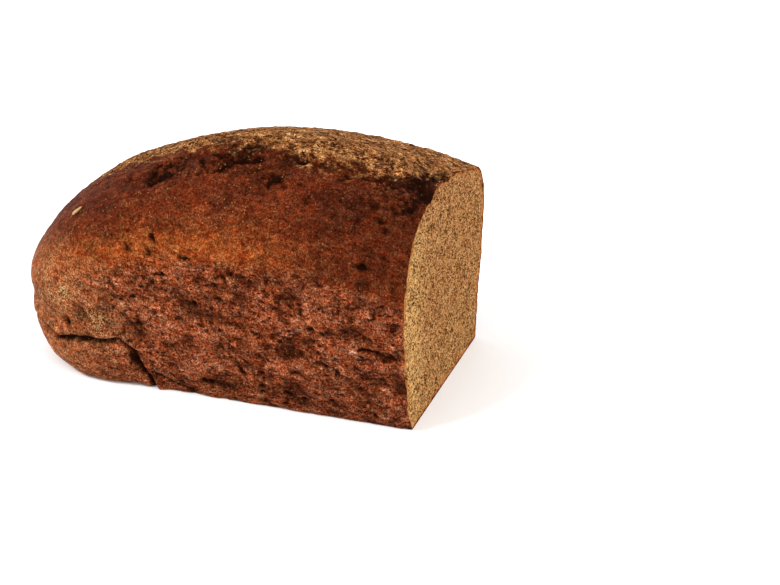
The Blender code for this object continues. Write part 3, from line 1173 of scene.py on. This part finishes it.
def seed_points():
    """The seed lying along x, with its rib on y = 0: its rings, and then its two tips."""
    points = []
    for turn in np.linspace(0, math.pi, SEED_RINGS + 2)[1:-1]:
        reach = math.sin(turn) * (1 - SEED_TAPER * (1 + math.cos(turn)) / 2)
        for side in np.arange(SEED_SIDES) * 2 * math.pi / SEED_SIDES:
            rib = SEED_RIB * bell(math.cos(side), 0, 0.25) * reach
            x = math.cos(turn) * SEED_LENGTH / 2
            y = reach * SEED_WIDTH / 2 * math.cos(side)
            z = reach * SEED_THICKNESS / 2 * math.sin(side) + math.copysign(rib, math.sin(side))
            points.append((x, y, z))
    return np.array(points + [(SEED_LENGTH / 2, 0, 0), (-SEED_LENGTH / 2, 0, 0)])


def seed_faces():
    """The faces between the rings of points, and from the end rings to the tips."""
    first_tip, last_tip = SEED_RINGS * SEED_SIDES, SEED_RINGS * SEED_SIDES + 1
    last_ring = (SEED_RINGS - 1) * SEED_SIDES
    steps = [(side, (side + 1) % SEED_SIDES) for side in range(SEED_SIDES)]
    faces = []
    for low in range(0, last_ring, SEED_SIDES):
        high = low + SEED_SIDES
        faces += [(low + side, low + after, high + after, high + side) for side, after in steps]
    for side, after in steps:
        faces += [(first_tip, after, side), (last_tip, last_ring + side, last_ring + after)]
    return faces


def make_seed(crust):
    """A flat pointed seed with a rib along it, laid on the crust where the CAD seed is."""
    middle = np.array((SEED_LOW + SEED_HIGH) / 2)
    gaps = np.linalg.norm(crust - middle, axis=-1)
    column, row = np.unravel_index(gaps.argmin(), crust.shape[:2])
    level = crust[column - 2, row] - crust[column + 2, row]
    rising = crust[column, row + 2] - crust[column, row - 2]
    level /= np.linalg.norm(level)
    outward = np.cross(level, rising)
    outward /= np.linalg.norm(outward)
    upward = np.cross(outward, level)
    long_way = level * math.cos(SEED_SLANT) + upward * math.sin(SEED_SLANT)
    short_way = np.cross(outward, long_way)
    short_way = short_way * math.cos(SEED_TWIST) + outward * math.sin(SEED_TWIST)
    outward = np.cross(long_way, short_way)

    centre = crust[column, row] + outward * SEED_THICKNESS * 0.3
    axes = np.array([long_way, short_way, outward])
    mesh = bpy.data.meshes.new("pale_seed")
    mesh.from_pydata((centre + seed_points() @ axes).tolist(), [], seed_faces())
    mesh.shade_smooth()
    mesh.materials.append(seed_material())
    return linked("pale_seed", mesh)


# ---- floor, light and camera

CAMERA_AZIMUTH = math.radians(19.1)
CAMERA_ELEVATION = math.radians(24.4)
CAMERA_DISTANCE = 0.6652
CAMERA_AIM = Vector((0.0672, 0.0, 0.0378))
CAMERA_LENS = 73.85

# The lamps: azimuth, elevation and softness in degrees, and strength.
KEY_LAMP = (-38, 50, 12, 2.1)
RIGHT_FILL_LAMP = (68, 30, 40, 1.9)

FLOOR_SIZE = 12.0


def make_floor():
    half = FLOOR_SIZE / 2
    mesh = bpy.data.meshes.new("floor")
    corners = [(-half, -half, 0), (half, -half, 0), (half, half, 0), (-half, half, 0)]
    mesh.from_pydata(corners, [], [(0, 1, 2, 3)])
    mesh.materials.append(floor_material())
    return linked("floor", mesh)


def placed(thing, azimuth, elevation, distance):
    """Puts a camera or lamp at a distance from the camera's aim, looking at it."""
    level = math.cos(elevation)
    back = Vector((math.sin(azimuth) * level, -math.cos(azimuth) * level, math.sin(elevation)))
    thing.location = CAMERA_AIM + back * distance
    thing.rotation_euler = back.to_track_quat("Z", "Y").to_euler()
    return thing


def make_camera():
    data = bpy.data.cameras.new("camera")
    data.lens = CAMERA_LENS
    return placed(linked("camera", data), CAMERA_AZIMUTH, CAMERA_ELEVATION, CAMERA_DISTANCE)


def make_lamp(name, azimuth, elevation, softness, strength):
    """A broad far lamp, which lights the loaf and the whole floor alike."""
    data = bpy.data.lights.new(name, "SUN")
    data.angle = math.radians(softness)
    data.energy = strength
    return placed(linked(name, data), math.radians(azimuth), math.radians(elevation), 1.0)


def light_studio():
    world = bpy.data.worlds.new("studio")
    world.use_nodes = True
    white = (1.0, 1.0, 1.0, 1.0)
    world.node_tree.nodes["Background"].inputs["Color"].default_value = white
    bpy.context.scene.world = world
    bpy.context.scene.view_settings.view_transform = "Standard"
    make_lamp("key", *KEY_LAMP)
    make_lamp("right_fill", *RIGHT_FILL_LAMP)


# ---- everything in place


def main():
    loaf, crust = make_loaf()
    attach(loaf, "root")
    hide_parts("loaf")
    seed = make_seed(crust)
    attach(seed, "root")
    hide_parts("crust_seed")
    make_floor()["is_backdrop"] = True
    light_studio()
    bpy.context.scene.camera = make_camera()
    bpy.context.view_layer.update()
    boxes = {"cad": CAD_BOX, "visual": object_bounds()}
    {name: [list(corner) for corner in box] for name, box in boxes.items()}


main()
